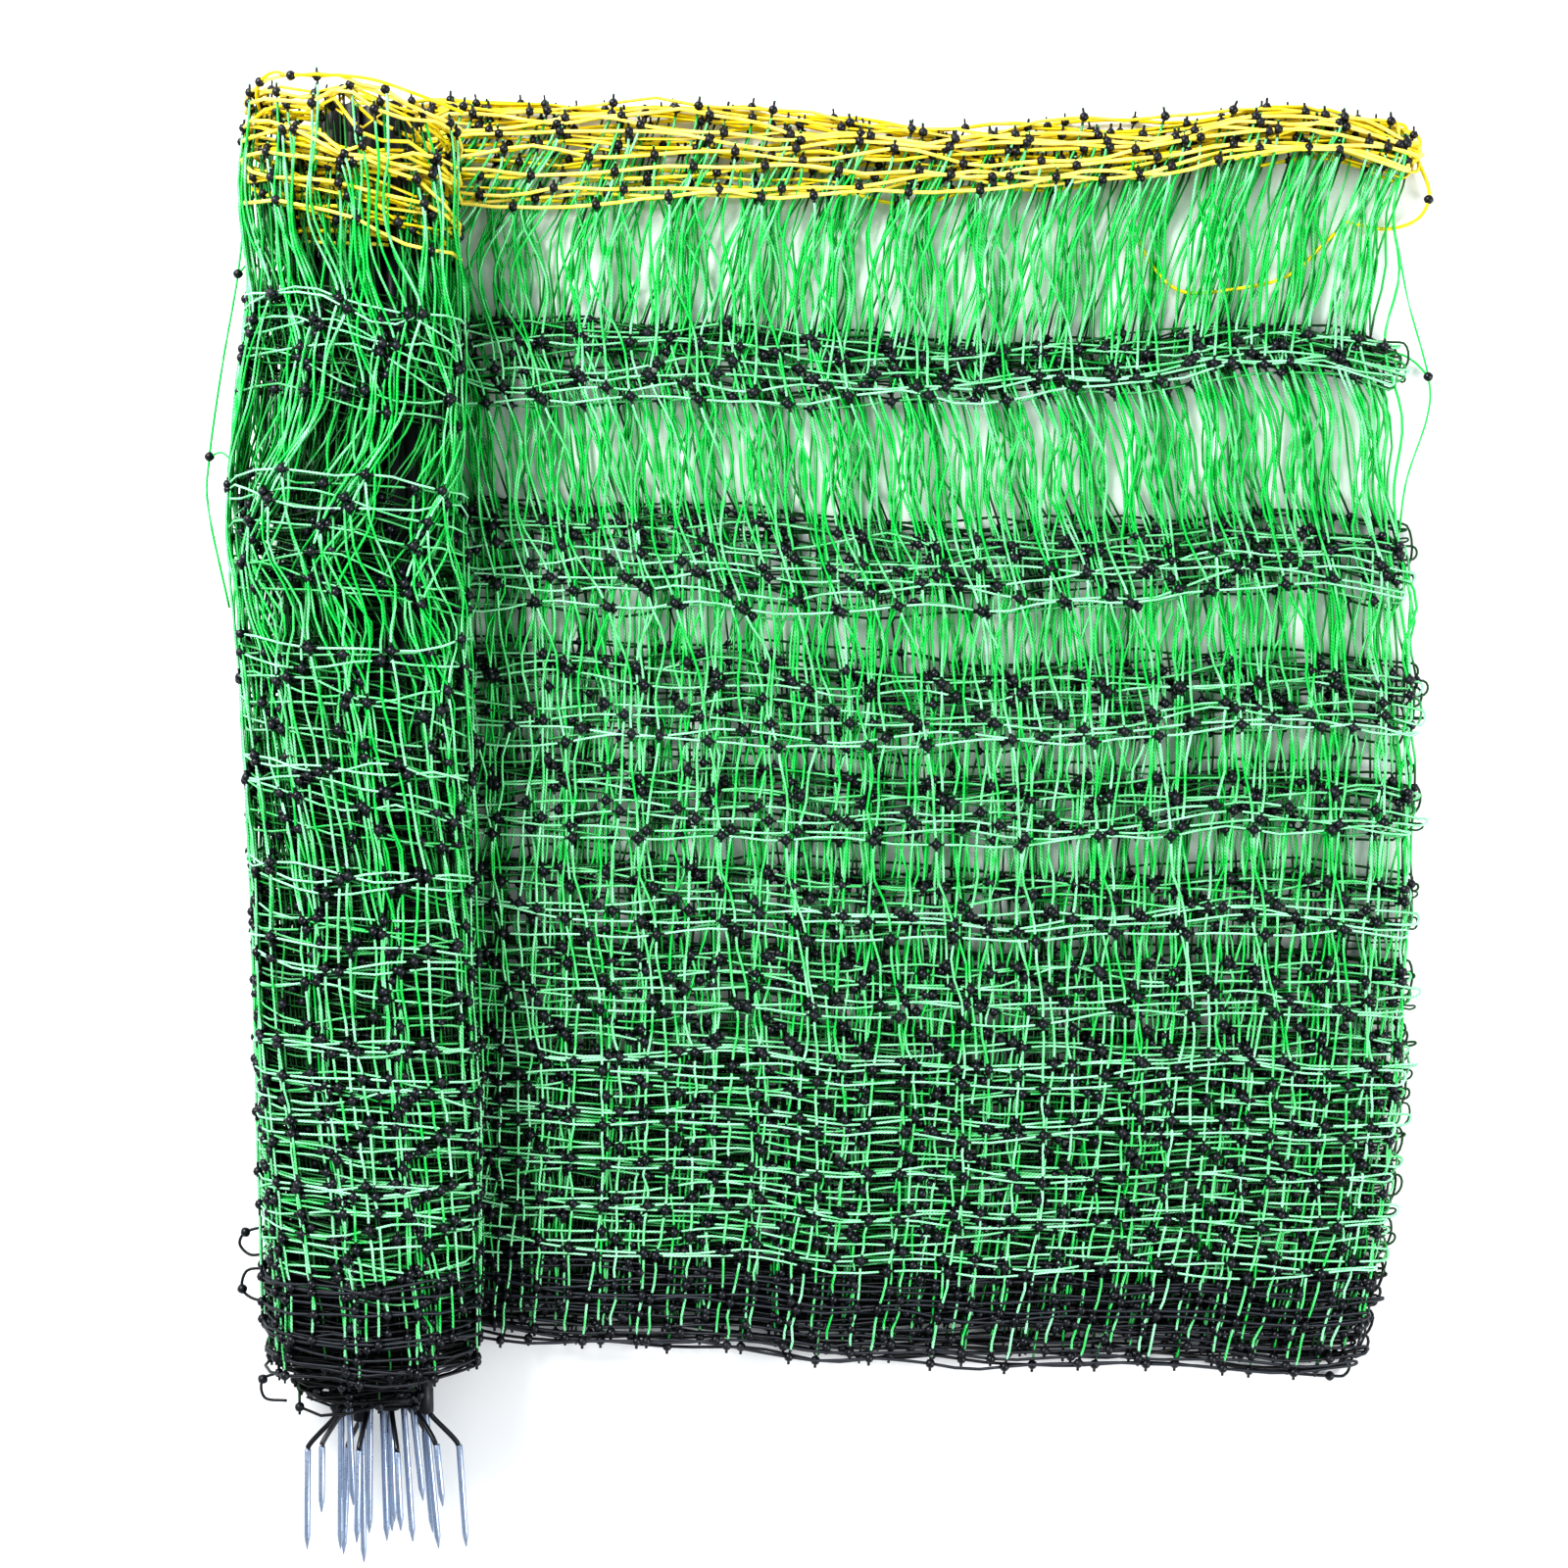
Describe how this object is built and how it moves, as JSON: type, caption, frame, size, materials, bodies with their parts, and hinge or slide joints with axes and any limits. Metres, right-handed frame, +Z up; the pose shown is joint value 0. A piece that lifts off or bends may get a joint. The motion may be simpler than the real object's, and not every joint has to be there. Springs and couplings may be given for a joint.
{
  "type": "folded electric fence netting with posts",
  "caption": "Electric fence netting folded back and forth and partly rolled around its plastic posts, with double steel ground spikes.",
  "frame": {"origin": "middle of the whole object's outer box, at the surface that it rests on", "axes": "+Y along the posts, towards the net's yellow top line; +X from the roll towards the folds; +Z up, away from the surface"},
  "size_m": [1.1736, 1.4308, 0.1586],
  "materials": {
    "polywire_green": "twisted green polyethylene strands with slack green stays",
    "polywire_yellow": "twisted yellow polyethylene top strand",
    "polywire_black": "twisted black polyethylene bottom strands",
    "knot_plastic": "black moulded joints where stays cross strands",
    "post_plastic": "black moulded plastic rod, slightly scuffed",
    "tread_plastic": "black plastic sleeve over a bent bar",
    "spike_steel": "galvanised steel rod with a filed point"
  },
  "bodies": {
    "root": {"netting": "polywire_green", "post_01": "post_plastic", "spike_01": "spike_steel", "tread_arm_01": "tread_plastic", "second_spike_01": "spike_steel", "post_02": "post_plastic", "spike_02": "spike_steel", "tread_arm_02": "tread_plastic", "second_spike_02": "spike_steel", "post_03": "post_plastic", "spike_03": "spike_steel", "tread_arm_03": "tread_plastic", "second_spike_03": "spike_steel", "post_04": "post_plastic", "spike_04": "spike_steel", "tread_arm_04": "tread_plastic", "second_spike_04": "spike_steel", "post_05": "post_plastic", "spike_05": "spike_steel", "tread_arm_05": "tread_plastic", "second_spike_05": "spike_steel", "post_06": "post_plastic", "spike_06": "spike_steel", "tread_arm_06": "tread_plastic", "second_spike_06": "spike_steel", "post_07": "post_plastic", "spike_07": "spike_steel", "tread_arm_07": "tread_plastic", "second_spike_07": "spike_steel", "post_08": "post_plastic", "spike_08": "spike_steel", "tread_arm_08": "tread_plastic", "second_spike_08": "spike_steel", "post_09": "post_plastic", "spike_09": "spike_steel", "tread_arm_09": "tread_plastic", "second_spike_09": "spike_steel"}
  },
  "joints": []
}
